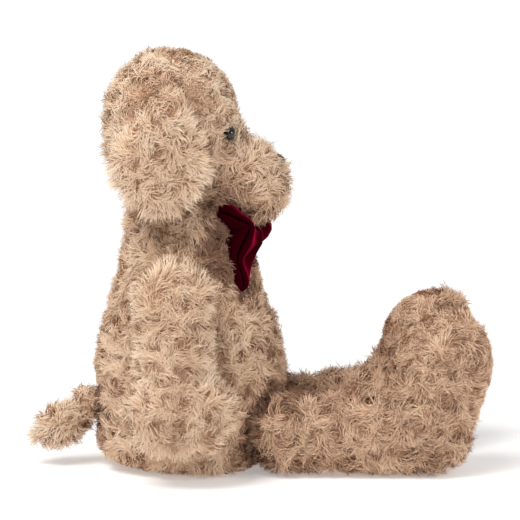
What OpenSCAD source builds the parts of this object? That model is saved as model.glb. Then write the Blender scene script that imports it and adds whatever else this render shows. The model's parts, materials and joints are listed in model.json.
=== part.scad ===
// A plush dog that sits upright with its legs stretched forward: fur-fabric covers over
// fibre stuffing, sewn at the neck, ears, shoulders, hips and tail, with safety eyes, a
// stitched nose and a velvet bow. It faces +X, its left side is towards +Y, and it sits
// on the plane Z = 0. Every sewn seam that bends is drawn as a ball, or as a flat face,
// centred on the line that the seam bends about, so the limbs clear the body as they move.

/* [Fabric] */
// Thickness of the covers, fur backing and pressed pile together
cover_t = 4; // [2:0.5:5]
// Gap between a cover and its stuffing
layer_gap = 0.3; // [0.1:0.1:0.5]
// Gap round a ball that turns in its seat
seat_gap = 0.6; // [0.4:0.1:1]

/* [Torso] */
// Distance of the torso's upright axis behind the origin
torso_back = 71; // [69:1:73]
// Radius of the torso at the seat
seat_r = 95.5; // [92:0.5:96]
// Radius of the flat underside that the dog sits on
base_r = 60; // [50:1:64]
// Height of the seat's rounded edge
seat_edge_h = 26; // [22:1:32]
// Height at which the torso starts to narrow
belly_h = 105; // [95:1:112]
// Radius of the torso at the top of the chest
chest_r = 67; // [64:0.5:68]
// Height of the top of the chest
chest_h = 215; // [212:1:217]
// Height of the shoulders
shoulder_h = 238; // [234:1:240]
// Radius of the opening between the shoulders and the neck
collar_r = 55; // [54:1:57]
// Radius of the bag of pellets in the seat
bead_bag_r = 52; // [40:1:56]
// Height of the bag of pellets
bead_bag_h = 26; // [18:1:30]

/* [Neck] */
// Radius of the packed plug of stuffing in the neck
neck_r = 52; // [48:0.5:52]
// Height of its centre, about which the head turns and nods
neck_h = 248; // [246:1:250]

/* [Head] */
// Half length, half width and half height of the skull
skull_r = [69, 66, 74]; // [60:1:80]
// Centre of the skull
skull_at = [-87, 0, 348]; // [-100:1:400]
// Half length, half width and half height of the muzzle
muzzle_r = [50, 42, 42]; // [36:1:54]
// Centre of the muzzle
muzzle_at = [-20, 0, 286]; // [-30:1:290]
// Angle by which the muzzle points down
muzzle_drop = 30; // [20:1:35]
// Half sizes of the cheeks, behind the muzzle
cheek_r = [36, 46, 40]; // [30:1:48]
// Centre of the cheeks
cheek_at = [-58, 0, 302]; // [-70:1:310]

/* [Ears] */
// Half width and half height of the round part of an ear
ear_r = [48, 49]; // [40:1:56]
// Half width and half height of the narrow top of an ear
ear_top_r = [30, 20]; // [18:1:30]
// Height of the middle of the round part
ear_h = 312; // [308:1:314]
// Distance of the middle of the round part behind the origin
ear_back = 104; // [99:1:105]
// Distance of the ear's top behind the origin
ear_top_back = 97; // [86:1:98]
// Half thickness of an ear
ear_t = 8; // [6:0.5:9]
// Distance from the middle of the head to the inner face of an ear
ear_side = 68; // [68:0.5:72]
// Height of the seam that an ear hangs from
ear_seam_h = 373; // [370:1:374]

/* [Face] */
// Radius of an eye
eye_r = 6.5; // [5:0.5:7]
// Height of an eye's dome
eye_dome = 4.5; // [3:0.5:5]
// Angle of an eye round the skull from straight ahead
eye_turn = 38; // [34:1:42]
// Angle of an eye below the middle of the skull
eye_drop = 7; // [4:1:10]
// Length of the post behind an eye
eye_post_l = 14; // [12:1:16]
// Width of the nose
nose_w = 20; // [14:1:24]
// Height of the nose
nose_h = 14; // [10:1:16]
// Angle of the nose above the muzzle's own axis
nose_lift = 62; // [55:1:70]

/* [Arms] */
// Height of the shoulder seam's middle
arm_h = 181; // [179:1:183]
// Distance of the shoulder seam behind the origin
arm_back = 93; // [90:1:96]
// Angle of the body's side, which the arm lies against
arm_lean = 10.4; // [10:0.1:11]
// Distance from the middle to an arm's inner face, at the height of the seat's top
arm_side = 98; // [97.5:0.5:100]
// Half width of the upper arm
arm_r = 41; // [34:1:42]
// Half thickness of the arm
arm_t = 26; // [22:1:28]
// Distance from the shoulder seam down to the middle of the paw
arm_l = 112; // [100:1:114]
// Half length and half height of the paw
paw_r = [59, 46]; // [44:1:60]

/* [Legs] */
// Distance of the hip seam in front of the origin
hip_fwd = 20; // [18:1:26]
// Distance of the hip seam from the middle
hip_side = 57; // [54:1:57]
// Radius of the leg at the hip
hip_r = 40; // [36:1:41]
// Radius of the thigh just in front of the hip
thigh_r = 33; // [28:1:36]
// Radius of the leg at the heel
heel_r = 47; // [44:1:48]
// Distance of the heel in front of the origin
heel_fwd = 162; // [150:1:168]
// Distance of the heel from the middle
heel_side = 66; // [62:1:66]
// Half depth, half width and half height of the ball of the foot
foot_r = [53, 46, 60]; // [40:1:62]
// Distance of the ball of the foot in front of the origin
foot_fwd = 176.5; // [170:0.5:180]
// Height of the ball of the foot
foot_h = 108; // [100:1:116]
// Angle by which the top of the foot leans forward
foot_lean = 18; // [0:1:18]
// Distance of the sole's seam in front of the origin
sole_fwd = 206; // [200:1:214]

/* [Tail] */
// Height of the tail's seam
tail_h = 58; // [54:1:62]
// Radius of the rounded root of the tail, in the seam
tail_r = 13; // [11:0.5:14]
// Radius of the tail where it leaves its root
tail_neck_r = 8; // [6:0.5:9]
// Half length, half width and half height of the tail's wide part
tail_wide_r = [26, 17, 20]; // [12:1:28]
// Length of the tail from its seam to its tip
tail_l = 70; // [64:1:76]
// Radius of the tail's tip
tail_tip_r = 10; // [6:1:12]
// Angle by which the tail points down
tail_droop = 27; // [24:1:29]

/* [Bow] */
// Half thickness of the bow's loops
bow_t = 4.5; // [3:0.5:5]
// Height of the bow's knot
knot_h = 226; // [224:1:227]
// Distance of the knot in front of the origin
knot_fwd = 2; // [1:0.5:4]
// Half sizes of the knot
knot_r = [4.5, 7, 7]; // [3:0.5:8]

/* [Hidden] */
RIGHT = -1;
LEFT = 1;
fur = "#c8a888";
lining = "#bb9a78";
fibre = "#f2efe8";
velvet = "#6e0a2a";
dark = "#1c130f";
clear_plastic = "#e4e4e0";
facets = 24;
limb_facets = 20;
bow_facets = 14;
far = 600;
arc_steps = 9;
core_depth = cover_t + layer_gap;
bead_bag_lift = 2;
ear_top_t = 0.8 * ear_t;
ear_half_gap = 0.1;
eye_rim_h = 0.5;
eye_post_r = 2;
eye_hole_r = 2.5;
eye_hole_depth = 20;
eye_hole_rise = 10;
washer_r = 8;
washer_t = 1.6;
washer_bore_r = 2.1;
washer_depth = cover_t + 2.5;
washer_room_r = washer_r + 1.5;
washer_room_depth = eye_post_l + 3;
nose_t = 3;
nose_corner = 3;
// The height at which arm_side is measured
seat_top_h = 100;
arm_origin_side = arm_side - (arm_h - seat_top_h) * tan(arm_lean);
arm_gap = 0.5;
arm_sunk = 5;
elbow_share = 0.72;
elbow_fwd = 2;
paw_fwd = 5;
paw_fuller = 2;
foot_turn = 2;
thigh_lift = 1.5;
sole_gap = 0.2;
tail_wide_share = 0.55;
tail_back = torso_back + seat_r;
// Corners of each bow loop as [forward, outward, height]
wing_near = [[3, 13, 228], [-26, 48, 256], [-3, 47, 247], [4, 32, 213], [-7, 46, 191]];
wing_far = [[3, 13, 228], [-10, 44, 249], [12, 42, 240], [6, 32, 216], [0, 42, 198]];

// Points on a quarter or more of an ellipse round c, from angle a to angle b
function arc(c, rx, rz, a, b) = [
    for (i = [0:arc_steps]) let (t = a + (b - a) * i / arc_steps) c + [rx * cos(t), rz * sin(t)]
];

// Half outline of the torso, set in by i, with the hollow that the neck sits in
function torso_outline(i) = let (
    hollow_r = neck_r + seat_gap + i,
    rim_angle = asin((shoulder_h - i - neck_h) / hollow_r)
) concat(
    [[0, i]],
    arc([base_r, seat_edge_h], seat_r - base_r - i, seat_edge_h - i, -90, 0),
    [[seat_r - i, belly_h]],
    arc([collar_r, chest_h], chest_r - collar_r - i, shoulder_h - chest_h - i, 0, 90),
    arc([0, neck_h], hollow_r, hollow_r, rim_angle, -90)
);

// An ellipsoid of the given half sizes, tilted nose down
module blob(at, r, tilt = 0, n = facets) {
    translate(at) rotate([0, tilt, 0]) scale(r) sphere(r = 1, $fn = n);
}

module on_side(side) {
    if (side == LEFT) mirror([0, 1, 0]) children();
    else children();
}

module torso_solid(i) {
    difference() {
        translate([-torso_back, 0, 0]) rotate_extrude($fn = 72) polygon(torso_outline(i));
        translate([-tail_back, 0, tail_h]) rotate([0, 90, 0]) sphere(r = tail_r + seat_gap + i, $fn = 48);
        for (s = [RIGHT, LEFT])
            translate([hip_fwd, s * hip_side, hip_r]) sphere(r = hip_r + 2 * seat_gap + i, $fn = 72);
    }
}

module bead_bag_solid(i) {
    corner = bead_bag_h / 2 - i;
    middle_h = core_depth + bead_bag_lift + bead_bag_h / 2;
    side = arc([bead_bag_r - bead_bag_h / 2, 0], corner, corner, -90, 90);
    translate([-torso_back, 0, middle_h]) rotate_extrude($fn = 72)
        polygon(concat([[0, -corner]], side, [[0, corner]]));
}

module head_solid(i) {
    inset = [i, i, i];
    difference() {
        union() {
            hull() blob(skull_at, skull_r - inset);
            hull() {
                blob(muzzle_at, muzzle_r - inset, muzzle_drop);
                blob(cheek_at, cheek_r - inset);
            }
        }
        translate([-torso_back, 0, neck_h]) sphere(r = neck_r + seat_gap + i, $fn = 72);
    }
}

// Places its children on the skull with +Z pointing out of it, at the right eye
module at_eye() {
    p = [cos(eye_drop) * cos(eye_turn), -cos(eye_drop) * sin(eye_turn), -sin(eye_drop)];
    n = [for (k = [0:2]) p[k] / skull_r[k]];
    translate(skull_at + [for (k = [0:2]) p[k] * skull_r[k]])
        rotate([0, acos(n[2] / norm(n)), atan2(n[1], n[0])]) children();
}

module eye_holes(r, depth) {
    for (s = [RIGHT, LEFT])
        on_side(s) at_eye() translate([0, 0, -depth]) cylinder(r = r, h = depth + eye_hole_rise, $fn = 32);
}

// One half of an ear's thickness: the outer panel, or the lining next to the head
module ear_half(outer) {
    middle = ear_side + ear_t;
    difference() {
        hull() {
            blob([-ear_back, -middle, ear_h], [ear_r[0], ear_t, ear_r[1]]);
            blob([-ear_top_back, -middle, ear_seam_h - ear_top_r[1]],
                [ear_top_r[0], ear_top_t, ear_top_r[1]]);
        }
        translate([-far / 2, outer ? -middle - ear_half_gap : -middle + ear_half_gap - far, 0]) cube(far);
    }
}

// The right arm: drawn hanging down with its shoulder seam at the origin and its inner
// face on the plane y = 0, then leaned against the body's side
module arm_solid(i) {
    inset = [i, i, i];
    upper = [arm_r, arm_t, arm_r] - inset;
    paw = [paw_r[0], arm_t + paw_fuller, paw_r[1]] - inset;
    side = arm_sunk - arm_t;
    translate([-arm_back, -arm_origin_side, arm_h]) rotate([-arm_lean, 0, 0])
        difference() {
            union() {
                hull() {
                    blob([0, side, 0], upper, 0, limb_facets);
                    blob([elbow_fwd, side, -elbow_share * arm_l], upper, 0, limb_facets);
                }
                hull() blob([paw_fwd, side - paw_fuller, -arm_l], paw, 0, limb_facets);
            }
            translate([-far / 2, -arm_gap - i, -far / 2]) cube(far);
        }
}

module leg_solid(i) {
    inset = [i, i, i];
    hull() translate([hip_fwd, -hip_side, hip_r]) sphere(r = hip_r - i, $fn = facets);
    hull() {
        translate([hip_fwd, -hip_side, thigh_r + thigh_lift]) sphere(r = thigh_r - i, $fn = facets);
        translate([heel_fwd, -heel_side, heel_r]) sphere(r = heel_r - i, $fn = facets);
    }
    hull() {
        translate([heel_fwd, -heel_side, heel_r]) sphere(r = heel_r - i, $fn = facets);
        blob([foot_fwd, -heel_side - foot_turn, foot_h], foot_r - inset, foot_lean);
    }
}

module leg_shell() {
    difference() {
        leg_solid(0);
        leg_solid(cover_t);
    }
}

module tail_solid(i) {
    inset = [i, i, i];
    translate([-tail_back, 0, tail_h]) rotate([0, -tail_droop, 0]) {
        sphere(r = tail_r - i, $fn = facets);
        hull() {
            sphere(r = tail_neck_r - i, $fn = limb_facets);
            blob([-tail_wide_share * tail_l, 0, 0], tail_wide_r - inset, 0, limb_facets);
            translate([tail_tip_r - tail_l, 0, 0]) sphere(r = tail_tip_r - i, $fn = limb_facets);
        }
    }
}

module torso_cover() {
    color(fur) difference() {
        torso_solid(0);
        torso_solid(cover_t);
    }
}

module torso_stuffing() {
    color(fibre) difference() {
        torso_solid(core_depth);
        bead_bag_solid(-layer_gap);
    }
}

module seat_bead_bag() {
    color(lining) bead_bag_solid(0);
}

module neck_core() {
    color(fibre) translate([-torso_back, 0, neck_h]) sphere(r = neck_r, $fn = 72);
}

module head_cover() {
    color(fur) difference() {
        head_solid(0);
        head_solid(cover_t);
        eye_holes(eye_hole_r, eye_hole_depth);
    }
}

module head_stuffing() {
    color(fibre) difference() {
        head_solid(core_depth);
        eye_holes(washer_room_r, washer_room_depth);
    }
}

module nose() {
    p = [muzzle_r[0] * cos(nose_lift), muzzle_r[2] * sin(nose_lift)];
    n = atan2(p[1] / pow(muzzle_r[2], 2), p[0] / pow(muzzle_r[0], 2));
    low = nose_h / 2 - nose_corner;
    out = nose_w / 2 - nose_corner;
    color(dark) translate(muzzle_at) rotate([0, muzzle_drop, 0]) translate([p[0], 0, p[1]])
        rotate([0, 90 - n, 0]) translate([0, 0, layer_gap]) linear_extrude(height = nose_t) hull()
            for (corner = [[-low, -out], [-low, out], [low, 0]])
                translate(corner) circle(nose_corner, $fn = 24);
}

module eye(side) {
    dome = arc([0, eye_rim_h], eye_r, eye_dome, 0, 90);
    color(dark) on_side(side) at_eye() rotate_extrude($fn = 48)
        polygon(concat([[0, -eye_post_l], [eye_post_r, -eye_post_l], [eye_post_r, eye_rim_h]], dome));
}

module eye_washer(side) {
    color(clear_plastic) on_side(side) at_eye() translate([0, 0, -washer_depth - washer_t])
        difference() {
            cylinder(r = washer_r, h = washer_t, $fn = 48);
            translate([0, 0, -washer_t]) cylinder(r = washer_bore_r, h = 3 * washer_t, $fn = 48);
        }
}

module ear_outer(side) {
    color(fur) on_side(side) ear_half(true);
}

module ear_lining(side) {
    color(lining) on_side(side) ear_half(false);
}

module arm_cover(side) {
    color(fur) on_side(side) difference() {
        arm_solid(0);
        arm_solid(cover_t);
    }
}

module arm_stuffing(side) {
    color(fibre) on_side(side) arm_solid(core_depth);
}

module leg_cover(side) {
    color(fur) on_side(side) difference() {
        leg_shell();
        translate([sole_fwd, -far / 2, -far / 2]) cube(far);
    }
}

module leg_stuffing(side) {
    color(fibre) on_side(side) leg_solid(core_depth);
}

module sole(side) {
    color(lining) on_side(side) intersection() {
        leg_shell();
        translate([sole_fwd + sole_gap, -far / 2, -far / 2]) cube(far);
    }
}

module tail_cover() {
    color(fur) difference() {
        tail_solid(0);
        tail_solid(cover_t);
    }
}

module tail_stuffing() {
    color(fibre) tail_solid(core_depth);
}

module bow_wing(side) {
    color(velvet) hull() for (p = side == RIGHT ? wing_near : wing_far)
        translate([p[0], side * p[1], p[2]]) sphere(r = bow_t, $fn = bow_facets);
}

module bow_knot() {
    color(velvet) hull() blob([knot_fwd, 0, knot_h], knot_r, 0, bow_facets);
}

torso_cover();
torso_stuffing();
seat_bead_bag();
neck_core();
head_cover();
head_stuffing();
nose();
eye(RIGHT);  // eye_right
eye(LEFT);  // eye_left
eye_washer(RIGHT);  // eye_washer_right
eye_washer(LEFT);  // eye_washer_left
ear_outer(RIGHT);  // ear_outer_right
ear_outer(LEFT);  // ear_outer_left
ear_lining(RIGHT);  // ear_lining_right
ear_lining(LEFT);  // ear_lining_left
arm_cover(RIGHT);  // arm_cover_right
arm_cover(LEFT);  // arm_cover_left
arm_stuffing(RIGHT);  // arm_stuffing_right
arm_stuffing(LEFT);  // arm_stuffing_left
leg_cover(RIGHT);  // leg_cover_right
leg_cover(LEFT);  // leg_cover_left
leg_stuffing(RIGHT);  // leg_stuffing_right
leg_stuffing(LEFT);  // leg_stuffing_left
sole(RIGHT);  // sole_right
sole(LEFT);  // sole_left
tail_cover();
tail_stuffing();
bow_wing(RIGHT);  // bow_wing_right
bow_wing(LEFT);  // bow_wing_left
bow_knot();
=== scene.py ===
import json
import math

import bmesh
import bpy
import numpy as np
from mathutils import Matrix, Vector
from mathutils.kdtree import KDTree


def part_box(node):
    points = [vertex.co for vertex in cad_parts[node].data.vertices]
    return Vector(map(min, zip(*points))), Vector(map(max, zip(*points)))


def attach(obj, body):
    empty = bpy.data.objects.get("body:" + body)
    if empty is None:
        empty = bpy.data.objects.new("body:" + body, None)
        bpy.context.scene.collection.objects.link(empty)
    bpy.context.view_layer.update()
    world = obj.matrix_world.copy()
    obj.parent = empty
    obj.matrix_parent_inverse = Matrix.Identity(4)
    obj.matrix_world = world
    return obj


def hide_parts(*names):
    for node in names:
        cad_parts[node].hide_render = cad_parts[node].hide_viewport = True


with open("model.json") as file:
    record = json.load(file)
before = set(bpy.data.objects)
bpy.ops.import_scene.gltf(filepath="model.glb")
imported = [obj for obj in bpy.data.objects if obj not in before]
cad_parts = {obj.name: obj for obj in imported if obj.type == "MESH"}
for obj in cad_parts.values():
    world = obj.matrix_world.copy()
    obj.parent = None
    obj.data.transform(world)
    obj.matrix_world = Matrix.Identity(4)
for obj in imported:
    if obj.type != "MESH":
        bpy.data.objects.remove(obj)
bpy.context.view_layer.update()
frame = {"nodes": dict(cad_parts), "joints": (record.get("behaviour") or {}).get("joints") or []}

nodes = frame["nodes"]
joint_at = {j["name"]: Vector(j["pos_m"]) for j in frame["joints"]}

MM = 0.001
TINY = 1e-9
SIDES = (("right", -1), ("left", 1))

# Camera: level with the dog's flank, a little behind it and above it
CAMERA_TURN = math.radians(4.0)
CAMERA_RISE = math.radians(9.0)
CAMERA_LENS = 300.0
FRAME_WIDTH = 0.52
CAMERA_AIM = Vector((-0.0005, 0.0, 0.2063))

# Studio: each lamp's name, place, watts and size. The lamps point at LIGHT_AIM
LAMPS = (
    ("key", Vector((-0.45, -0.62, 0.95)), 2.4, 0.45),
    ("fill", Vector((0.75, -0.45, 0.50)), 1.6, 0.14))
LIGHT_AIM = Vector((-0.06, 0.0, 0.32))
SUN_STRENGTH = 1.6
SUN_SPREAD = math.radians(30)
SUN_TILT = (math.radians(26), math.radians(-26), 0.0)
WORLD_STRENGTH = 0.42
FLOOR_SIZE = 24.0
FLOOR_COLOUR = (0.93, 0.93, 0.93)
FLOOR_GLOW = 0.3

# Pile: a lock is a group of strands that share one direction and draw together at their tips
PILE_LENGTH = 14.0 * MM
SHORT_PILE = 7.0 * MM
LOCKS_PER_M2 = 96000.0
LOCK_SPREAD = 2.1 * MM
STRANDS_PER_LOCK = 6
MOST_STRANDS = 28000
FLOOR_CLEAR = 0.4 * MM
# Below this share of its length, a lock isn't made
SHORTEST = 0.1

# Swirls: the locks wind round centres, and the rim of a swirl lies between these shares of its radius
SWIRL_RADII = (5.5 * MM, 13.0 * MM)
SWIRL_TRIES = 6000
RIM = (0.2, 0.9)
FARTHEST_OUT = 1.2
# A swirl's middle is bare out to this share of its radius, more or less
HOLLOW = 0.12
HOLLOW_SPREAD = (0.2, 1.8)
HOLLOW_JITTER = 0.06
# A lock's turn from straight out of its swirl: in degrees at the middle and lost by the rim, then its strays
SPIN_MIDDLE = 82.0
SPIN_LOSS = 34.0
SPIN_WAVE = 0.45
SPIN_WAVELENGTH = 12.0 * MM
SPIN_JITTER = 0.22
# A lock's lean from the way the fabric faces, in degrees: in a swirl's middle, and what its rim, combing and
# chance add
ROOT_LEAN = (56.0, -20.0, 22.0, 9.0)
TIP_LEAN = (98.0, -8.0, -2.0, 12.0)
CURL = 74.0
CURL_JITTER = 32.0
# A lock's length: as a share in a swirl's middle, and what its rim and chance add
LENGTH_MIDDLE = 0.72
LENGTH_RIM = 0.34
LENGTH_JITTER = 0.10
# A lock's shade, from 0 for the darkest to just under 1 for the lightest
LIGHTEST = 0.999
SHADE_MIDDLE = 0.43
SHADE_RIM = 0.20
SHADE_COMBED = 0.20
SHADE_WAVE = 0.10
SHADE_WAVELENGTH = 30.0 * MM
SHADE_JITTER = 0.08
# Smooth noise: how many sine waves it has, and how their lengths differ
WAVE_COUNT = 6
WAVE_SPREAD = (0.7, 1.4)

# Strands: ribbons of STRAND_ROWS cross lines, the last of them a point, which stray from their lock
STRAND_ROWS = 5
POINTS_PER_STRAND = 2 * (STRAND_ROWS - 1) + 1
STRAND_WIDTH = 0.75 * MM
STRAND_WIDTHS = (0.75, 1.25)
STRAND_LENGTHS = (0.75, 1.15)
STRAND_TAPER = (0.9, 1.0, 0.85, 0.6, 0.0)
DRAW_IN = 0.35
LEAN_JITTER = 0.14
LAY_JITTER = 0.24
TWIST_JITTER = 0.5
STRAND_SHADE_JITTER = 0.09
NORMAL_SOFTNESS = 0.65

# The map on the pile: SHADE_COLUMNS shades side by side in a square of PALETTE_SIZE
SHADE_COLUMNS = 16
PALETTE_SIZE = 0.25
COLUMN_MARGIN = 0.15
ROW_MARGIN = 0.02

# Where neighbours meet: how far they change the pile, and between which shares of that the change fades out
CROWD_REACH = 32.0 * MM
CREASE_REACH = 45.0 * MM
CROWD_FADE = (0.3, 1.0)
CREASE_FADE = (0.2, 1.0)
# The crease fades out too as the neighbour comes to lie straight in front of the fabric
CREASE_AHEAD = (0.55, 0.95)
# How much shorter the pile gets, and by how many degrees it stands up or lies down
CROWD_TRIM = 0.3
CROWD_LIFT = 22.0
CREASE_FLATTEN = 30.0
# How far neighbours beside a piece count, how much painted shade they lay on it, and how much painted shade
# the crease along their edge gets
HANGING = (0.0, 0.15, 0.0)
SITTING = (0.45, 0.2, 0.15)
TRUNK_CROWD = (0.45, 0.2, 0.42)
TRUNK = ("torso", "neck", "head")

# Pile by the bow: short nearer than the first distance, whole beyond the second, and given painted shade
# within
# BOW_SHADE
BOW_CLEAR = (1.5 * MM, 9.0 * MM)
BOW_SHADE = 24.0 * MM
BOW_STUBBLE = 0.3
BOW_PAINTED_SHADE = 0.6

# Bare rings round the eyes and the nose: no pile within the first distance, whole beyond the second
EYE_RING = (7.0 * MM, 13.0 * MM)
NOSE_RING = (7.0 * MM, 13.0 * MM)

# Pile that is brushed straight out at an edge: how hard it is pulled, and how much of its swirl it loses
EAR_COMB = (1.4, 0.8)
ARM_COMB = (1.3, 0.75)
# The edge itself: by the share of an ear's half size, and by how far an arm's fabric faces sideways
EAR_EDGE = (0.55, 0.92)
ARM_EDGE = (0.45, 0.92)
EAR_FRINGE_TOP = 0.95
EAR_FRINGE_FADE = 0.4
# How much longer and lighter the brushed pile is
EAR_FRINGE = (0.12, 0.26)
ARM_FRINGE = (0.1, 0.36)

# Trimmed pile: the way the fabric faces there, the two heights it lies between, and how much is cut off.
# Where that is below 0, the pile is longer
TRIM_FACING = (0.3, 0.8)
TRIM_BLEND = 15.0 * MM
CHEST = ((1, 0, 0), 165 * MM, 260 * MM, 0.45)
UNDER_TAIL = ((-0.8, 0, -0.6), 0.0, 12 * MM, 0.6)
NECK_FRONT = ((1, 0, 0), 0.0, 400 * MM, 0.5)
BROW = ((0.64, 0, 0.77), 350 * MM, 420 * MM, 0.5)
MUZZLE_TOP = ((0.4, 0, 0.92), 290 * MM, 335 * MM, -0.4)
FOOT_BACK = ((-0.7, 0, 0.7), 110 * MM, 200 * MM, 0.6)
SHIN = ((-0.2, 0, 0.98), 60 * MM, 95 * MM, -0.35)

# Painted shade on the pile: places, how far the shade reaches from them, and how dark it is. Little light
# gets in between an ear and its cheek or behind the bow, and the muzzle's pile gets painted shade below the
# head's top, which gets painted light
SHADE_CORE = 0.35
CHEEKS = ([Vector((-36, sign * 50, 297)) * MM for _, sign in SIDES], 38 * MM, 0.46)
THROAT = ([Vector((-42, sign * 50, 226)) * MM for _, sign in SIDES], 42 * MM, 0.6)
MUZZLE = ([Vector((44, 0, 286)) * MM], 90 * MM, 0.25)

# How much lighter or darker the pile of a whole piece is. The head's lighter pile is painted light from
# above, and the legs' darker pile is painted shade
HEAD_PAINTED_LIGHT = 0.24
TAIL_TONE = 0.2
TAIL_LIFT = 8.0
ARM_TONE = -0.05
LEG_PAINTED_SHADE = -0.22

# Heights between which the neck's pile grows, which hangs down and is a little longer
NECK_LOW = 222.0 * MM
NECK_HIGH = 280.0 * MM
NECK_LIFT = 16.0
NECK_SIZE = 1.2
NECK_PULL = (0, 0, -0.7)
# The soles lie in front of this, and face forward; an ear's lining faces the head
SOLE_FORWARD = 206.0 * MM
SOLE_FACING = 0.7
LINING_FACING = -0.35
# First seeds of the short piles. The long ones count from 0
LINING_SEED = 50
SOLE_SEED = 60

# Stuffed backings: how far they are set in from the CAD shape, and how they swell
PILE_INSET = 6.0 * MM
HEAD_INSET = 5.0 * MM
EAR_INSET = 3.0 * MM
TAIL_INSET = 4.0 * MM
NECK_INSET = -3.0 * MM
VOXEL = 6.0 * MM
FINE_VOXEL = 4.0 * MM
BACKING_SMOOTHING = 6
SMOOTHING_SHARE = 0.5
CLOTH_QUALITY = 5
CLOTH_MASS = 0.3
CLOTH_STIFFNESS = 25.0
CLOTH_BENDING = 0.5
PRESSURE = 4.0
SIM_FRAMES = 20
SWELL_CAP = 3.0 * MM

# Balls that fill the room behind an eye's washer, and the sewn roots of the ears, the arms and the tail
WASHER_FILL = 7.0 * MM
EAR_ROOT = 12.0 * MM
EAR_ROOT_STEP = 13.0 * MM
EAR_ROOT_IN = 4.0 * MM
ARM_ROOT = 27.0 * MM
TAIL_ROOT = 17.0 * MM
TAIL_ROOT_OUT = Vector((-6, 0, 6)) * MM

# Bow: the middle line of each loop's open end as (forward, outward, height), from its upper end to its lower
# tip
NEAR_SPINE = (
    (-45, 52, 264), (-35, 52, 261), (-23, 51, 255), (-12.5, 51, 248), (-16, 52, 237),
    (-23, 54, 223), (-25, 55, 213), (-21, 56, 201), (-19, 58, 191), (-22, 59, 185))
FAR_SPINE = (
    (-30, 50, 248), (-15, 48, 244), (0, 46, 240), (11, 45, 234), (3, 46, 231), (-8, 48, 229), (-20, 52, 224))
LOOP_AROUND = 72
LOOP_ALONG = 18
CURVE_STEPS = 24
VELVET_THICK = 1.2 * MM
# A loop's half thickness at the knot, halfway and at its open end, and how far back it bends halfway
KNOT_FOLD = 4.5 * MM
LOOP_FOLD = 8.0 * MM
LOOP_GAP = 3.0 * MM
LOOP_BACK = 9.0 * MM
# How a loop widens from the knot, where it is thickest, and how blunt its two edges are
LOOP_WIDEN = 1.6
LOOP_CREST = 1.3
EDGE_BLUNT = 8
# Steps of the cloth turned in at the open end, and how fast they close
TURNED_IN = (0.05, 0.12, 0.19, 0.26)
TURNED_CLOSE = 3.5
# Pleats at the knot and waves at the open end, as shares of the thickness, and a ripple outward: how deep
# they are, and how many bends they have
PLEAT = 0.22
PLEAT_BENDS = 5
LOOP_WAVE = 0.22
LOOP_WAVE_BENDS = 4
LOOP_WAVE_SHIFT = 1
LOOP_RIPPLE = 1.5 * MM
RIPPLE_BENDS = 3

# Knot: the middle of the bow, and where its loops start
KNOT_AT = Vector((-4.0, 0.0, 229.0)) * MM
KNOT_HALF = (6.5 * MM, 8.5 * MM, 9.5 * MM)
KNOT_PLEATS = 7
KNOT_EDGE = 6.0 * MM
KNOT_REACH = 6.0 * MM

# Nose: a pad set back from the CAD one, which tilts with the muzzle. A pad is a little squarer than a ball,
# and its pleats wind round it
NOSE_BACK = Vector((3.5, 0, 0.5)) * MM
NOSE_HALF = (7.5 * MM, 9.0 * MM, 6.0 * MM)
NOSE_TILT = math.radians(24)
PAD_SQUARE = 0.8
PAD_PLEAT = 0.06
PAD_TWIST = 2.0

# Colours: the pile's shades from dark to light, and what its roots are multiplied by
FUR_SHADES = (
    (0.0, (0.20, 0.10, 0.06)), (0.14, (0.42, 0.235, 0.145)), (0.34, (0.70, 0.455, 0.30)),
    (0.65, (0.86, 0.625, 0.43)), (1.0, (0.94, 0.765, 0.585)))
FUR_ROOT = (0.74, 0.60, 0.50)
LINING_SHADES = ((0.0, (0.46, 0.25, 0.15)), (0.5, (0.82, 0.55, 0.37)), (1.0, (0.93, 0.70, 0.51)))
LINING_ROOT = (0.6, 0.5, 0.42)
WHITE = (1.0, 1.0, 1.0)
BACKING_LIGHT = (0.66, 0.44, 0.30)
BACKING_DARK = (0.50, 0.31, 0.20)
BACKING_GRAIN = 900.0
VELVET_RED = (0.027, 0.0004, 0.0026)
VELVET_SHEEN = (1.0, 0.02, 0.12)
EYE_BROWN = (0.004, 0.003, 0.0025)
THREAD_BROWN = (0.018, 0.010, 0.008)


# ---------------------------------------------------------------- materials

def new_material(name):
    """An empty node material and its Principled shader."""
    material = bpy.data.materials.new(name)
    material.use_nodes = True
    shader = material.node_tree.nodes["Principled BSDF"]
    return material, shader


def add_node(material, kind, **settings):
    """A new node in material with these settings."""
    node = material.node_tree.nodes.new(kind)
    for key, value in settings.items():
        setattr(node, key, value)
    return node


def link(material, source, target):
    """Joins two sockets of material."""
    material.node_tree.links.new(source, target)


def ramp(material, factor, stops):
    """A colour ramp with these (place, colour) stops, read at factor."""
    node = add_node(material, "ShaderNodeValToRGB")
    elements = node.color_ramp.elements
    while len(elements) < len(stops):
        elements.new(0.5)
    for element, (place, colour) in zip(elements, stops):
        element.position = place
        element.color = (*colour, 1.0)
    link(material, factor, node.inputs["Fac"])
    return node.outputs["Color"]


def multiply(material, a, b):
    """The product of two colours."""
    node = add_node(material, "ShaderNodeMix", data_type="RGBA", blend_type="MULTIPLY")
    node.inputs["Factor"].default_value = 1.0
    link(material, a, node.inputs["A"])
    link(material, b, node.inputs["B"])
    return node.outputs["Result"]


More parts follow.
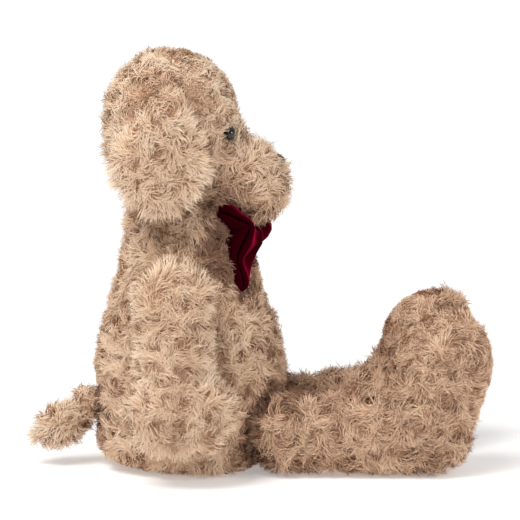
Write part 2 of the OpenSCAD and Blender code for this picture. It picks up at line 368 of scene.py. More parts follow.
def pile_material(name, shades, root):
    """Fur fibre. The map's first axis picks a lock's shade, and its second runs from root to tip."""
    material, shader = new_material(name)
    uv = add_node(material, "ShaderNodeUVMap", uv_map="OFBake")
    scale = add_node(material, "ShaderNodeVectorMath", operation="SCALE")
    scale.inputs["Scale"].default_value = 1.0 / PALETTE_SIZE
    split = add_node(material, "ShaderNodeSeparateXYZ")
    link(material, uv.outputs["UV"], scale.inputs[0])
    link(material, scale.outputs["Vector"], split.inputs["Vector"])
    shade = ramp(material, split.outputs["X"], shades)
    along = ramp(material, split.outputs["Y"], [(0.0, root), (0.55, WHITE), (1.0, WHITE)])
    link(material, multiply(material, shade, along), shader.inputs["Base Color"])
    shader.inputs["Roughness"].default_value = 0.75
    shader.inputs["Specular IOR Level"].default_value = 0.25
    shader.inputs["Sheen Weight"].default_value = 0.12
    shader.inputs["Sheen Roughness"].default_value = 0.5
    return material


def cloth_material(name, light, dark, scale):
    """Knitted backing: a fine mottle with a bump."""
    material, shader = new_material(name)
    place = add_node(material, "ShaderNodeTexCoord")
    noise = add_node(material, "ShaderNodeTexNoise")
    noise.inputs["Scale"].default_value = scale
    noise.inputs["Detail"].default_value = 6.0
    link(material, place.outputs["Object"], noise.inputs["Vector"])
    mottle = ramp(material, noise.outputs["Fac"], [(0.35, dark), (0.65, light)])
    link(material, mottle, shader.inputs["Base Color"])
    bump = add_node(material, "ShaderNodeBump")
    bump.inputs["Strength"].default_value = 0.5
    bump.inputs["Distance"].default_value = 1.0 * MM
    link(material, noise.outputs["Fac"], bump.inputs["Height"])
    link(material, bump.outputs["Normal"], shader.inputs["Normal"])
    shader.inputs["Roughness"].default_value = 0.95
    shader.inputs["Specular IOR Level"].default_value = 0.1
    return material


def velvet_material(name, sheen):
    """Dark wine-red velvet, which is light only where it is seen at a slant."""
    material, shader = new_material(name)
    shader.inputs["Base Color"].default_value = (*VELVET_RED, 1)
    shader.inputs["Roughness"].default_value = 0.85
    shader.inputs["Specular IOR Level"].default_value = 0.0
    shader.inputs["Sheen Weight"].default_value = sheen
    shader.inputs["Sheen Roughness"].default_value = 0.28
    shader.inputs["Sheen Tint"].default_value = (*VELVET_SHEEN, 1)
    return material


def glossy_material(name, colour, roughness, coat):
    """Dark plastic or thread, with a clear coat on top."""
    material, shader = new_material(name)
    shader.inputs["Base Color"].default_value = (*colour, 1)
    shader.inputs["Roughness"].default_value = roughness
    shader.inputs["Specular IOR Level"].default_value = 0.3
    shader.inputs["Coat Weight"].default_value = coat
    shader.inputs["Coat Roughness"].default_value = 0.03
    return material


FUR = pile_material("fur_pile", FUR_SHADES, FUR_ROOT)
LINING = pile_material("lining_pile", LINING_SHADES, LINING_ROOT)
BACKING = cloth_material("fur_backing", BACKING_LIGHT, BACKING_DARK, BACKING_GRAIN)
VELVET = velvet_material("bow_velvet", 1.0)
# A copy of the velvet with little sheen: painted shade inside the bow's slits
VELVET_PAINTED_SHADE = velvet_material("bow_velvet_painted_shade", 0.1)
EYE = glossy_material("eye_plastic", EYE_BROWN, 0.08, 0.5)
STITCH = glossy_material("nose_thread", THREAD_BROWN, 0.6, 0.0)


# ---------------------------------------------------------------- meshes

def link_mesh(name, mesh):
    """A new object in the scene that shows mesh."""
    obj = bpy.data.objects.new(name, mesh)
    bpy.context.scene.collection.objects.link(obj)
    return obj


def object_from(name, vertices, faces):
    """A new object with these vertices and faces."""
    mesh = bpy.data.meshes.new(name)
    mesh.from_pydata([tuple(v) for v in vertices], [], faces)
    mesh.validate()
    return link_mesh(name, mesh)


def joined_copy(name, sources, plugs):
    """A new object that holds copies of these CAD nodes' meshes, and a ball for each of the plugs."""
    shape = bmesh.new()
    for source in sources:
        shape.from_mesh(nodes[source].data)
    for place, radius in plugs:
        bmesh.ops.create_icosphere(shape, subdivisions=3, radius=radius, matrix=Matrix.Translation(place))
    mesh = bpy.data.meshes.new(name)
    shape.to_mesh(mesh)
    shape.free()
    return link_mesh(name, mesh)


def freeze(obj):
    """Applies obj's modifiers to its mesh."""
    evaluated = obj.evaluated_get(bpy.context.evaluated_depsgraph_get())
    mesh = bpy.data.meshes.new_from_object(evaluated)
    obj.modifiers.clear()
    obj.data = mesh


def keep_outer_shell(obj):
    """Removes what isn't connected to the outermost vertex, such as the walls of inner hollows."""
    shape = bmesh.new()
    shape.from_mesh(obj.data)
    shape.verts.ensure_lookup_table()
    start = max(shape.verts, key=lambda v: v.co.x)
    found = {start}
    queue = [start]
    while queue:
        for edge in queue.pop().link_edges:
            for vertex in edge.verts:
                if vertex not in found:
                    found.add(vertex)
                    queue.append(vertex)
    bmesh.ops.delete(shape, geom=[v for v in shape.verts if v not in found], context="VERTS")
    shape.to_mesh(obj.data)
    shape.free()


def backing_from(name, sources, inset, voxel, plugs=()):
    """The fabric under the pile: the outer shape of these CAD nodes in even quads, set in by inset."""
    obj = joined_copy(name, sources, plugs)
    remesh = obj.modifiers.new("even", "REMESH")
    remesh.mode = "VOXEL"
    remesh.voxel_size = voxel
    freeze(obj)
    keep_outer_shell(obj)
    smooth = obj.modifiers.new("smooth", "SMOOTH")
    smooth.factor = SMOOTHING_SHARE
    smooth.iterations = BACKING_SMOOTHING
    shrink = obj.modifiers.new("inset", "DISPLACE")
    shrink.mid_level = 0.0
    shrink.strength = -inset
    freeze(obj)
    obj.data.materials.clear()
    obj.data.materials.append(BACKING)
    return obj


def vertex_array(mesh):
    """The places of mesh's vertices."""
    found = np.empty(len(mesh.vertices) * 3, np.float32)
    mesh.vertices.foreach_get("co", found)
    return found.reshape(-1, 3)


def set_vertices(mesh, places):
    """Moves mesh's vertices to these places."""
    mesh.vertices.foreach_set("co", np.ascontiguousarray(places, np.float32).ravel())
    mesh.update()


def swell(backings):
    """Fills each backing as stuffing does: a cloth under pressure, all in one run."""
    before = {}
    for obj in backings:
        before[obj] = vertex_array(obj.data)
        cloth = obj.modifiers.new("stuffing", "CLOTH")
        cloth.settings.quality = CLOTH_QUALITY
        cloth.settings.mass = CLOTH_MASS
        cloth.settings.tension_stiffness = CLOTH_STIFFNESS
        cloth.settings.compression_stiffness = CLOTH_STIFFNESS
        cloth.settings.bending_stiffness = CLOTH_BENDING
        cloth.settings.use_pressure = True
        cloth.settings.uniform_pressure_force = PRESSURE
        cloth.settings.effector_weights.gravity = 0.0
        cloth.collision_settings.use_collision = False
        cloth.point_cache.frame_start = 1
        cloth.point_cache.frame_end = SIM_FRAMES
    for step in range(1, SIM_FRAMES + 1):
        bpy.context.scene.frame_set(step)
    for obj in backings:
        freeze(obj)
        move = vertex_array(obj.data) - before[obj]
        far = np.linalg.norm(move, axis=1, keepdims=True)
        move *= np.minimum(1.0, SWELL_CAP / np.maximum(far, TINY))
        set_vertices(obj.data, before[obj] + move)
    bpy.context.scene.frame_set(1)


# ---------------------------------------------------------------- pile

def unit(v):
    """Each v at length 1."""
    return v / np.maximum(np.linalg.norm(v, axis=-1, keepdims=True), TINY)


def waves(places, rng, wavelength):
    """Smooth noise from about -1 to 1: a few sine waves in random directions."""
    ways = unit(rng.normal(size=(WAVE_COUNT, 3)))
    ways *= (2 * math.pi / wavelength) * rng.uniform(*WAVE_SPREAD, size=(WAVE_COUNT, 1))
    phases = rng.uniform(0, 2 * math.pi, size=WAVE_COUNT)
    return np.sin(places @ ways.T + phases).sum(1) / math.sqrt(WAVE_COUNT)


def surface_points(obj, per_m2, rng):
    """Evenly spread points on obj, and the normals there."""
    mesh = obj.data
    mesh.calc_loop_triangles()
    corners = np.empty(len(mesh.loop_triangles) * 3, np.int32)
    mesh.loop_triangles.foreach_get("vertices", corners)
    corners = corners.reshape(-1, 3)
    places = vertex_array(mesh)
    normals = np.empty(len(mesh.vertices) * 3, np.float32)
    mesh.vertex_normals.foreach_get("vector", normals)
    normals = normals.reshape(-1, 3)
    a, b, c = (places[corners[:, k]] for k in range(3))
    area = np.linalg.norm(np.cross(b - a, c - a), axis=1) / 2
    total = np.cumsum(area)
    count = int(total[-1] * per_m2)
    at = (np.arange(count) + rng.uniform(0, 1, count)) * total[-1] / count
    face = np.minimum(np.searchsorted(total, at), len(corners) - 1)
    u = np.sqrt(rng.uniform(0, 1, (count, 1)))
    v = rng.uniform(0, 1, (count, 1))
    weights = np.hstack([1 - u, u * (1 - v), u * v])
    where = np.einsum("nk,nkd->nd", weights, places[corners[face]])
    facing = unit(np.einsum("nk,nkd->nd", weights, normals[corners[face]]))
    return where, facing


def swirl_centres(places, rng):
    """Some of these points as the middles of swirls that hardly overlap, and each one's radius."""
    kept = np.empty((0, 3))
    radii = np.empty(0)
    tried = places[rng.permutation(len(places))[:SWIRL_TRIES]]
    for point, radius in zip(tried, rng.uniform(*SWIRL_RADII, len(tried))):
        if not len(kept) or (np.linalg.norm(kept - point, axis=1) - radii - radius).min() > 0:
            kept = np.vstack([kept, point])
            radii = np.append(radii, radius)
    return kept, radii


def rotate_about(v, axis, angle):
    """Each v turned about its own unit axis by its own angle."""
    c = np.cos(angle)[..., None]
    s = np.sin(angle)[..., None]
    return v * c + np.cross(axis, v) * s + axis * (axis * v).sum(-1, keepdims=True) * (1 - c)


class Coat:
    """What each lock of a piece's pile is told: where it grows, the way the fabric faces there, and how it
    differs: in size, in the way it is pulled, in how much it swirls, in shade, partly painted light and
    shade, and in how far it stands up."""

    def __init__(self, where, facing):
        count = len(where)
        self.where = where
        self.facing = facing
        self.size = np.ones(count)
        self.pull = np.zeros((count, 3))
        self.swirl = np.ones(count)
        self.light = np.zeros(count)
        self.lift = np.zeros(count)


def smooth_step(low, high, x):
    """A smooth rise from 0 where x is low to 1 where it is high."""
    t = np.clip((x - low) / (high - low), 0.0, 1.0)
    return t * t * (3 - 2 * t)


def toward_nearest(where, others):
    """From each place to the nearest vertex of these objects."""
    tree = KDTree(sum(len(o.data.vertices) for o in others))
    index = 0
    for other in others:
        for vertex in other.data.vertices:
            tree.insert(vertex.co, index)
            index += 1
    tree.balance()
    return np.array([tree.find(place)[0] for place in where]) - where


def crowd(others, sideways, painted_shade, crease):
    """Painted shade on the pile, which stands up to fill the gap, where another piece lies in front of it, or
    beside it by the sideways share, and painted shade with shorter, flatter pile by crease in a line along
    the other piece's edge."""
    def change(coat):
        toward = toward_nearest(coat.where, others)
        gap = np.linalg.norm(toward, axis=1)
        ahead = (toward * coat.facing).sum(1) / np.maximum(gap, TINY)
        press = np.clip(sideways + ahead, 0.0, 1.0) * (1 - smooth_step(*CROWD_FADE, gap / CROWD_REACH))
        coat.size *= 1 - CROWD_TRIM * press
        coat.lift += CROWD_LIFT * press
        # Painted shade where another piece lies close in front or beside
        coat.light -= painted_shade * press
        line = 1 - smooth_step(*CREASE_FADE, gap / CREASE_REACH)
        line *= 1 - smooth_step(*CREASE_AHEAD, ahead)
        # Painted shade in a line along the other piece's edge
        coat.light -= crease * line
        coat.size *= 1 - crease * line
        coat.lift -= CREASE_FLATTEN * crease * line
    return change


def keep_off(others, near, far):
    """Short pile nearer than near to these objects, and painted shade on the pile round them."""
    def change(coat):
        gap = np.linalg.norm(toward_nearest(coat.where, others), axis=1)
        coat.size *= BOW_STUBBLE + (1 - BOW_STUBBLE) * smooth_step(near, far, gap)
        # Painted shade on the pile round the bow
        coat.light -= BOW_PAINTED_SHADE * (1 - smooth_step(near, BOW_SHADE, gap))
    return change


def shadow(places, reach, painted_shade):
    """Painted shade on the pile round these places, where little light gets in."""
    def change(coat):
        for place in places:
            gap = np.linalg.norm(coat.where - np.array(place), axis=1)
            # Painted shade round each place
            coat.light -= painted_shade * (1 - smooth_step(SHADE_CORE * reach, reach, gap))
    return change


def swirls_over(where, facing, rng):
    """How each lock lies in its swirl: the way out from the middle, how far out it is, the sense in which the
    swirl turns, and how far out its middle is bare."""
    centres, radii = swirl_centres(where, rng)
    bare = HOLLOW * rng.uniform(*HOLLOW_SPREAD, len(centres))
    turn = rng.choice([-1.0, 1.0], len(centres))
    gap = np.linalg.norm(where[:, None] - centres[None], axis=2) / radii
    nearest = gap.argmin(1)
    away = where - centres[nearest]
    away -= facing * (away * facing).sum(1, keepdims=True)
    out = np.minimum(gap.min(1), FARTHEST_OUT)
    return unit(away), out, turn[nearest], bare[nearest]


def lean_of(angles, rim, combed, lift, rng):
    """A lean in radians from one of the sets of angles above."""
    middle, by_rim, by_combing, jitter = angles
    return np.radians(middle + by_rim * rim + by_combing * combed - lift + rng.normal(0, jitter, len(rim)))


def locks_of(coat, swirls, length, rng):
    """The place, facing, lay, two leans, curl, length and shade of each lock that grows."""
    away, out, sense, bare = swirls
    count = len(out)
    rim = smooth_step(*RIM, out)
    combed = 1 - coat.swirl
    spin = np.radians(SPIN_MIDDLE - SPIN_LOSS * rim) * sense
    spin += SPIN_WAVE * waves(coat.where, rng, SPIN_WAVELENGTH) + rng.normal(0, SPIN_JITTER, count)
    lay = rotate_about(away, coat.facing, spin) * coat.swirl[:, None] + coat.pull
    lay -= coat.facing * (lay * coat.facing).sum(1, keepdims=True)
    root_lean = lean_of(ROOT_LEAN, rim, combed, coat.lift, rng)
    tip_lean = lean_of(TIP_LEAN, rim, combed, coat.lift, rng)
    curl = np.radians(CURL + CURL_JITTER * rng.normal(size=count)) * sense * coat.swirl
    long = length * coat.size * (LENGTH_MIDDLE + LENGTH_RIM * rim) * rng.normal(1, LENGTH_JITTER, count)
    shade = SHADE_MIDDLE + SHADE_RIM * rim * coat.swirl + SHADE_COMBED * combed + coat.light
    shade += SHADE_WAVE * waves(coat.where, rng, SHADE_WAVELENGTH) + rng.normal(0, SHADE_JITTER, count)
    kept = (coat.size > SHORTEST) & (out + rng.normal(0, HOLLOW_JITTER, count) > bare * coat.swirl)
    facts = (coat.where, coat.facing, unit(lay), root_lean, tip_lean, curl, long, shade)
    return [fact[kept] for fact in facts]


def strands_of(locks, rng):
    """Root, points, normals and shade of each strand of these locks."""
    strands = [np.repeat(fact, STRANDS_PER_LOCK, axis=0) for fact in locks]
    where, facing, lay, root_lean, tip_lean, curl, long, shade = strands
    count = len(where)
    side = np.cross(facing, lay)
    spread = rng.normal(0, LOCK_SPREAD, (count, 2))
    offset = lay * spread[:, :1] + side * spread[:, 1:]
    long = long * rng.uniform(*STRAND_LENGTHS, count)
    root_lean = root_lean + rng.normal(0, LEAN_JITTER, count)
    tip_lean = tip_lean + rng.normal(0, LEAN_JITTER, count)
    lay = rotate_about(lay, facing, rng.normal(0, LAY_JITTER, count))
    twist = rng.normal(0, TWIST_JITTER, count)
    step = (long / (STRAND_ROWS - 1))[:, None]
    half = STRAND_WIDTH / 2 * rng.uniform(*STRAND_WIDTHS, (count, 1))
    points = np.empty((count, POINTS_PER_STRAND, 3), np.float32)
    normals = np.empty((count, POINTS_PER_STRAND, 3), np.float32)
    centre = where
    for row in range(STRAND_ROWS):
        share = row / (STRAND_ROWS - 1)
        lean = root_lean + (tip_lean - root_lean) * share
        flat = rotate_about(lay, facing, curl * share)
        way = facing * np.cos(lean)[:, None] + flat * np.sin(lean)[:, None]
        place = centre + offset * (1.0 - DRAW_IN * share)
        broad = rotate_about(unit(np.cross(way, facing)), way, twist)
        normal = unit(facing * NORMAL_SOFTNESS + np.cross(broad, way) * (1 - NORMAL_SOFTNESS))
        edge = broad * half * STRAND_TAPER[row]
        points[:, 2 * row] = place - edge
        normals[:, 2 * row] = normal
        if row < STRAND_ROWS - 1:
            points[:, 2 * row + 1] = place + edge
            normals[:, 2 * row + 1] = normal
        centre = centre + way * step
    low = FLOOR_CLEAR * (1 + 2 * rng.uniform(0, 1, (count, 1)))
    points[..., 2] = np.maximum(points[..., 2], low)
    shade = shade + rng.normal(0, STRAND_SHADE_JITTER, count)
    return where, points, normals, shade


def grow(name, backing, body, material, seed, length=PILE_LENGTH, adjust=()):
    """Grows swirled pile on a backing, changed by the adjust functions, in pieces of at most MOST_STRANDS."""
    rng = np.random.default_rng(seed)
    where, facing = surface_points(backing, LOCKS_PER_M2, rng)
    swirls = swirls_over(where, facing, rng)
    coat = Coat(where, facing)
    for change in adjust:
        change(coat)
    root, points, normals, shade = strands_of(locks_of(coat, swirls, length, rng), rng)
    column = np.floor(np.clip(shade, 0.0, LIGHTEST) * SHADE_COLUMNS)
    order = np.argsort(root[:, 1], kind="stable")
    parts = int(math.ceil(len(root) / MOST_STRANDS))
    for part, chosen in enumerate(np.array_split(order, parts)):
        label = f"{name}_pile" if parts == 1 else f"{name}_pile_{part + 1}"
        obj = strand_mesh(label, points[chosen], normals[chosen], column[chosen], material)
        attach(obj, body)


def strand_mesh(name, points, normals, column, material):
    """Ribbons of quads ending in a point, with a map that holds each one's shade and its root to tip."""
    count = len(points)
    quads = STRAND_ROWS - 2
    pattern = []
    for row in range(quads):
        pattern += [2 * row, 2 * row + 1, 2 * row + 3, 2 * row + 2]
    pattern += [2 * quads, 2 * quads + 1, 2 * quads + 2]
    sizes = [4] * quads + [3]
    loops = (np.arange(count)[:, None] * POINTS_PER_STRAND + np.array(pattern)[None]).ravel()
    totals = np.tile(sizes, count)
    mesh = bpy.data.meshes.new(name)
    mesh.vertices.add(count * POINTS_PER_STRAND)
    mesh.vertices.foreach_set("co", points.astype(np.float32).ravel())
    mesh.loops.add(len(loops))
    mesh.loops.foreach_set("vertex_index", loops.astype(np.int32))
    mesh.polygons.add(len(totals))
    starts = np.concatenate([[0], np.cumsum(totals)[:-1]])
    mesh.polygons.foreach_set("loop_start", starts.astype(np.int32))
    mesh.update(calc_edges=True)
    mesh.polygons.foreach_set("use_smooth", np.ones(len(totals), bool))
    rise = np.array([min(k // 2, STRAND_ROWS - 1) / (STRAND_ROWS - 1) for k in pattern])
    edges = (COLUMN_MARGIN, 1 - COLUMN_MARGIN)
    across = np.array([0.5 if k == POINTS_PER_STRAND - 1 else edges[k % 2] for k in pattern])
    u = (column[:, None] + across[None]) / SHADE_COLUMNS
    v = np.broadcast_to(ROW_MARGIN + (1 - 2 * ROW_MARGIN) * rise[None], u.shape)
    uv = mesh.uv_layers.new(name="OFBake")
    uv.data.foreach_set("uv", (np.stack([u, v], -1) * PALETTE_SIZE).astype(np.float32).ravel())
    mesh.materials.append(material)
    mesh.normals_split_custom_set_from_vertices(normals.reshape(-1, 3))
    return link_mesh(name, mesh)


# ---------------------------------------------------------------- how each piece's pile differs

def clear_of(places, near, far):
    """No pile nearer than near to these places, and full length beyond far."""
    def change(coat):
        for place in places:
            gap = np.linalg.norm(coat.where - np.array(place), axis=1)
            coat.size *= smooth_step(near, far, gap)
    return change


def keep_where(test):
    """Pile only where test says so."""
    def change(coat):
        coat.size *= test(coat).astype(float)
    return change


def on_neck(coat):
    """The part of the neck that shows between the torso and the head."""
    return (coat.where[:, 2] > NECK_LOW) & (coat.where[:, 2] < NECK_HIGH)


def on_sole(coat):
    """The front of a foot."""
    return (coat.where[:, 0] > SOLE_FORWARD - PILE_INSET) & (coat.facing[:, 0] > SOLE_FACING)


def on_lining(sign):
    """The side of an ear that lies against the head."""
    return lambda coat: coat.facing[:, 1] * sign < LINING_FACING


def off(test):
    """Everywhere but where test says."""
    return lambda coat: ~test(coat)


def comb(coat, way, share, combing, growth):
    """Brushes the pile along way by this share, and makes it longer and lighter."""
    pull, straighten = combing
    longer, lighter = growth
    coat.pull += unit(way) * (pull * share)[:, None]
    coat.swirl *= 1 - straighten * share
    coat.size *= 1 + longer * share
    coat.light += lighter * share


def ear_fringe(middle, half):
    """Long light pile brushed out across the edge of an ear, below its top. Its box gives middle and half."""
    def change(coat):
        x = (coat.where[:, 0] - middle.x) / half.x
        z = (coat.where[:, 2] - middle.z) / half.z
        below = 1 - smooth_step(EAR_FRINGE_TOP - EAR_FRINGE_FADE, EAR_FRINGE_TOP, z)
        edge = smooth_step(*EAR_EDGE, np.hypot(x, z)) * below
        comb(coat, np.stack([x, np.zeros_like(x), z], axis=1), edge, EAR_COMB, EAR_FRINGE)
    return change


def arm_fringe(sign):
    """Light pile brushed out across the outline of an arm that lies against the body's side."""
    def change(coat):
        edge = 1 - smooth_step(*ARM_EDGE, coat.facing[:, 1] * sign)
        comb(coat, coat.facing * np.array([1.0, 0.0, 1.0]), edge, ARM_COMB, ARM_FRINGE)
    return change


def trim(way, low, high, amount):
    """Pile cut shorter, by amount, or longer where amount is below 0, where the fabric faces this way between
    two heights."""
    def change(coat):
        height = coat.where[:, 2]
        share = smooth_step(*TRIM_FACING, coat.facing @ np.array(way))
        share *= smooth_step(low - TRIM_BLEND, low, height)
        share *= 1 - smooth_step(high, high + TRIM_BLEND, height)
        coat.size *= 1 - amount * share
    return change


def tone(light, lift=0.0, size=1.0, pull=(0, 0, 0)):
    """The same change over a whole piece."""
    def change(coat):
        coat.light += light
        coat.lift += lift
        coat.size *= size
        coat.pull += np.array(pull)
    return change


def by_neighbours(name, skins, bow):
    """Changes to a piece's pile where others lie against it, painted shade among them. The trunk's own pieces
    pass into each other.
    """
    apart = [key for key in skins if key != name and not (name in TRUNK and key in TRUNK)]
    others = [skins[key] for key in apart]
    if name in TRUNK:
        return [crowd(others, *TRUNK_CROWD), keep_off(bow, *BOW_CLEAR)]
    if name.startswith(("arm", "ear")):
        return [crowd(others, *HANGING)]
    return [crowd(others, *SITTING)]


# ---------------------------------------------------------------- bow, nose

def curve_through(points, count):
    """Even points on a smooth curve through these ones, a Catmull-Rom spline."""
    points = np.array(points, float)
    ends = np.vstack([2 * points[0] - points[1], points, 2 * points[-1] - points[-2]])
    fine = []
    for k in range(1, len(ends) - 2):
        for t in np.linspace(0, 1, CURVE_STEPS, endpoint=False):
            a, b, c, d = ends[k - 1], ends[k], ends[k + 1], ends[k + 2]
            square = (2 * a - 5 * b + 4 * c - d) * t ** 2
            cube = (3 * b - a - 3 * c + d) * t ** 3
            fine.append(0.5 * (2 * b + (c - a) * t + square + cube))
    fine = np.array(fine + [points[-1]])
    along = np.concatenate([[0], np.cumsum(np.linalg.norm(np.diff(fine, axis=0), axis=1))])
    at = np.linspace(0, along[-1], count)
    return np.stack([np.interp(at, along, fine[:, k]) for k in range(3)], axis=1)


def loop_ring(t, slit, line, side):
    """The points round a loop at the share t of its way out. A slit, if given, sets its thickness there."""
    half = len(line)
    share = np.linspace(0, 1, half)
    slope = unit(np.gradient(line[:, ::2], axis=0))
    across = np.stack([-slope[:, 1], slope[:, 0]], axis=1)
    rise = np.linspace(KNOT_REACH, -KNOT_REACH, half)
    knot_line = np.stack([np.zeros(half), np.full(half, KNOT_EDGE), rise], axis=1)
    knot_line += np.array([KNOT_AT.x, 0.0, KNOT_AT.z])
    reach = 1 - (1 - t) ** LOOP_WIDEN
    fold = LOOP_FOLD * math.sin(math.pi * t ** LOOP_CREST) + KNOT_FOLD * (1 - t) + LOOP_GAP * t
    if slit is not None:
        fold = slit
    middle = knot_line * (1 - reach) + line * reach
    middle[:, 0] -= LOOP_BACK * math.sin(math.pi * t)
    middle[:, 1] = knot_line[:, 1] * (1 - t) + line[:, 1] * t
    middle[:, 1] += LOOP_RIPPLE * t * np.sin(share * RIPPLE_BENDS * math.pi)
    blunt = np.sqrt(np.clip(1 - (2 * share - 1) ** EDGE_BLUNT, 0, 1))
    pleat = 1 + PLEAT * (1 - t) * np.sin(share * PLEAT_BENDS * math.pi)
    pleat += LOOP_WAVE * t * np.sin(share * LOOP_WAVE_BENDS * math.pi + LOOP_WAVE_SHIFT)
    width = (fold * blunt * pleat)[:, None]
    one = middle.copy()
    one[:, ::2] += across * width
    other = middle.copy()
    other[:, ::2] -= across * width
    ring = np.vstack([one, other[::-1]])
    ring[:, 1] *= side
    return ring


def bow_loop(name, side, spine):
    """One loop of the bow: a velvet tube pleated at the knot. Its far end is pressed into a slit along spine,
    and turned in."""
    line = curve_through(spine, LOOP_AROUND // 2) * MM
    outside = [(t, None) for t in np.linspace(0, 1, LOOP_ALONG)]
    inside = [(1.0 - back, LOOP_GAP * (1 - TURNED_CLOSE * back)) for back in TURNED_IN]
    rings = [loop_ring(t, slit, line, side) for t, slit in outside + inside]
    faces = []
    for step in range(len(rings) - 1):
        for k in range(LOOP_AROUND):
            a = step * LOOP_AROUND + k
            b = step * LOOP_AROUND + (k + 1) % LOOP_AROUND
            face = (a, b, b + LOOP_AROUND, a + LOOP_AROUND)
            faces.append(face if side < 0 else (face[0], face[3], face[2], face[1]))
    obj = object_from(name, np.vstack(rings), faces)
    # The turned-in faces get the low-sheen velvet: painted shade inside the slit
    shaded = np.arange(len(faces)) >= LOOP_AROUND * (LOOP_ALONG - 1)
    obj.data.materials.append(VELVET)
    obj.data.materials.append(VELVET_PAINTED_SHADE)
    obj.data.polygons.foreach_set("material_index", shaded.astype(np.int32))
    thick = obj.modifiers.new("thick", "SOLIDIFY")
    thick.thickness = VELVET_THICK
    thick.offset = -1.0
    finer = obj.modifiers.new("finer", "SUBSURF")
    finer.levels = 1
    freeze(obj)
    smooth_faces(obj)
    return obj


def smooth_faces(obj):
    """Shades obj smooth."""
    obj.data.polygons.foreach_set("use_smooth", np.ones(len(obj.data.polygons), bool))


def pad(name, at, half, turn, material, pleats=0):
    """A rounded pad; pleats are folds that run round its waist."""
    shape = bmesh.new()
    bmesh.ops.create_uvsphere(shape, u_segments=48, v_segments=32, radius=1.0)
    for vertex in shape.verts:
        p = vertex.co
        if pleats:
            p *= 1 + PAD_PLEAT * math.sin(pleats * math.atan2(p.y, p.x) + PAD_TWIST * p.z)
        square = [math.copysign(abs(axis) ** PAD_SQUARE, axis) for axis in p]
        vertex.co = at + turn @ Vector([axis * reach for axis, reach in zip(square, half)])
    mesh = bpy.data.meshes.new(name)
    shape.to_mesh(mesh)
    shape.free()
    obj = link_mesh(name, mesh)
    obj.data.materials.append(material)
    smooth_faces(obj)
    return obj


# ---------------------------------------------------------------- stage

def make_stage():
    """A pale floor, an even sky, a wide sun and the lamps."""
    bpy.ops.mesh.primitive_plane_add(size=FLOOR_SIZE, location=(0, 0, 0))
    floor = bpy.context.object
    floor.name = "floor"
    material, shader = new_material("floor_paper")
    shader.inputs["Base Color"].default_value = (*FLOOR_COLOUR, 1)
    shader.inputs["Roughness"].default_value = 0.9
    shader.inputs["Specular IOR Level"].default_value = 0.0
    shader.inputs["Emission Color"].default_value = (*WHITE, 1)
    shader.inputs["Emission Strength"].default_value = FLOOR_GLOW
    floor.data.materials.append(material)
    world = bpy.data.worlds.new("studio")
    world.use_nodes = True
    sky = world.node_tree.nodes["Background"]
    sky.inputs["Color"].default_value = (*WHITE, 1)
    sky.inputs["Strength"].default_value = WORLD_STRENGTH
    bpy.context.scene.world = world
    sun = bpy.data.lights.new("window", "SUN")
    sun.energy = SUN_STRENGTH
    sun.angle = SUN_SPREAD
    window = bpy.data.objects.new("window", sun)
    window.rotation_euler = SUN_TILT
    bpy.context.scene.collection.objects.link(window)
    for name, place, energy, size in LAMPS:
        box = bpy.data.lights.new(name, "AREA")
        box.energy = energy
        box.size = size
        lamp = bpy.data.objects.new(name, box)
        lamp.location = place
        lamp.rotation_euler = (LIGHT_AIM - place).to_track_quat("-Z", "Y").to_euler()
        bpy.context.scene.collection.objects.link(lamp)
    bpy.context.scene.view_settings.view_transform = "Standard"


def make_camera():
    """The camera, far off with a long lens, so that it shows FRAME_WIDTH at CAMERA_AIM."""
    data = bpy.data.cameras.new("camera")
    data.lens = CAMERA_LENS
    data.clip_end = 100.0
    camera = bpy.data.objects.new("camera", data)
    ahead = Vector((
        math.sin(CAMERA_TURN) * math.cos(CAMERA_RISE),
        math.cos(CAMERA_TURN) * math.cos(CAMERA_RISE),
        -math.sin(CAMERA_RISE)))
    distance = FRAME_WIDTH * CAMERA_LENS / data.sensor_width
    camera.location = CAMERA_AIM - ahead * distance
    camera.rotation_euler = ahead.to_track_quat("-Z", "Y").to_euler()
    bpy.context.scene.collection.objects.link(camera)
    bpy.context.scene.camera = camera


# ---------------------------------------------------------------- the dog

def box_middle(name):
    """The middle of a CAD node's box."""
    low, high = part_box(name)
    return (Vector(low) + Vector(high)) / 2


def box_half(name):
    """Half the size of a CAD node's box."""
    low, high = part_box(name)
    return (Vector(high) - Vector(low)) / 2


make_camera()
make_stage()

# Each piece rides the body that it is named after: its CAD nodes, its inset and its voxel size
pieces = {
    "torso": (["torso_cover", "torso_stuffing", "seat_bead_bag"], PILE_INSET, VOXEL),
    "neck": (["neck_core"], NECK_INSET, VOXEL),
    "head": (["head_cover", "head_stuffing"], HEAD_INSET, VOXEL),
    "tail": (["tail_cover", "tail_stuffing"], TAIL_INSET, FINE_VOXEL),
}
# Balls that are joined to a piece: places and radii
plugs = {
    "head": [(box_middle(f"eye_washer_{side}"), WASHER_FILL) for side, _ in SIDES],
    "tail": [(joint_at["tail_lift"] + TAIL_ROOT_OUT, TAIL_ROOT)],
}
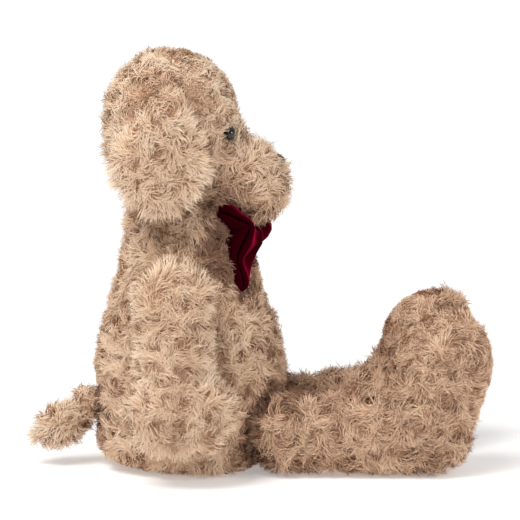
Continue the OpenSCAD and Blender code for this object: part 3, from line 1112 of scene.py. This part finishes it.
# Changes to a piece's pile: shadow lays painted shade on it, and the head's and the legs' tones painted light
# and painted shade
eyes = [box_middle(f"eye_{side}") for side, _ in SIDES]
nose_at = box_middle("nose")
changes = {
    "torso": [trim(*CHEST), trim(*UNDER_TAIL), shadow(*THROAT)],
    "neck": [
        keep_where(on_neck),
        tone(0.0, lift=NECK_LIFT, size=NECK_SIZE, pull=NECK_PULL),
        trim(*NECK_FRONT),
        shadow(*THROAT),
    ],
    "head": [
        clear_of(eyes, *EYE_RING),
        clear_of([nose_at], *NOSE_RING),
        trim(*BROW),
        trim(*MUZZLE_TOP),
        shadow(*CHEEKS),
        shadow(*MUZZLE),
        # Painted light on the head, as from above
        tone(HEAD_PAINTED_LIGHT),
    ],
    "tail": [tone(TAIL_TONE, lift=TAIL_LIFT)],
}
for side, sign in SIDES:
    arm = f"arm_{side}"
    leg = f"leg_{side}"
    ear = f"ear_{side}"
    pieces[arm] = ([f"arm_cover_{side}", f"arm_stuffing_{side}"], PILE_INSET, VOXEL)
    pieces[leg] = ([f"leg_cover_{side}", f"leg_stuffing_{side}", f"sole_{side}"], PILE_INSET, VOXEL)
    pieces[ear] = ([f"ear_outer_{side}", f"ear_lining_{side}"], EAR_INSET, FINE_VOXEL)
    hinge = joint_at[f"ear_{side}_flap"] - Vector((0, sign * EAR_ROOT_IN, 0))
    plugs[ear] = [(hinge + Vector((k * EAR_ROOT_STEP, 0, 0)), EAR_ROOT) for k in (-1, 0, 1)]
    plugs[arm] = [(joint_at[f"arm_{side}_swing"], ARM_ROOT)]
    changes[arm] = [arm_fringe(sign), tone(ARM_TONE)]
    # The legs' tone is painted shade
    changes[leg] = [keep_where(off(on_sole)), trim(*FOOT_BACK), trim(*SHIN), tone(LEG_PAINTED_SHADE)]
    outer = f"ear_outer_{side}"
    changes[ear] = [ear_fringe(box_middle(outer), box_half(outer)), keep_where(off(on_lining(sign)))]

skins = {}
for name, (sources, inset, voxel) in pieces.items():
    skins[name] = backing_from(name + "_skin", sources, inset, voxel, plugs.get(name, ()))
swell(list(skins.values()))

bow = []
for (side, sign), spine in zip(SIDES, (NEAR_SPINE, FAR_SPINE)):
    loop = bow_loop(f"bow_loop_{side}", sign, spine)
    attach(loop, "neck")
    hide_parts(f"bow_wing_{side}")
    bow.append(loop)
knot = pad("bow_knot_wrap", KNOT_AT, KNOT_HALF, Matrix.Identity(3), VELVET, pleats=KNOT_PLEATS)
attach(knot, "neck")
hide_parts("bow_knot")
bow.append(knot)

for seed, (name, (sources, _, _)) in enumerate(pieces.items()):
    skin = skins[name]
    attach(skin, name)
    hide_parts(*sources)
    grow(name, skin, name, FUR, seed, adjust=changes[name] + by_neighbours(name, skins, bow))
for count, (side, sign) in enumerate(SIDES):
    short_piles = (
        ("ear_lining", f"ear_{side}", LINING_SEED, on_lining(sign)),
        ("sole", f"leg_{side}", SOLE_SEED, on_sole))
    for name, body, first_seed, test in short_piles:
        grow(f"{name}_{side}", skins[body], body, LINING, first_seed + count,
             length=SHORT_PILE, adjust=[keep_where(test)])

for side, _ in SIDES:
    eye = nodes[f"eye_{side}"]
    eye.data.materials.clear()
    eye.data.materials.append(EYE)

# The nose: a stitched pad that reaches down through the pile
nose = pad("nose_pad", nose_at - NOSE_BACK, NOSE_HALF, Matrix.Rotation(NOSE_TILT, 3, "Y"), STITCH)
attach(nose, "head")
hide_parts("nose")
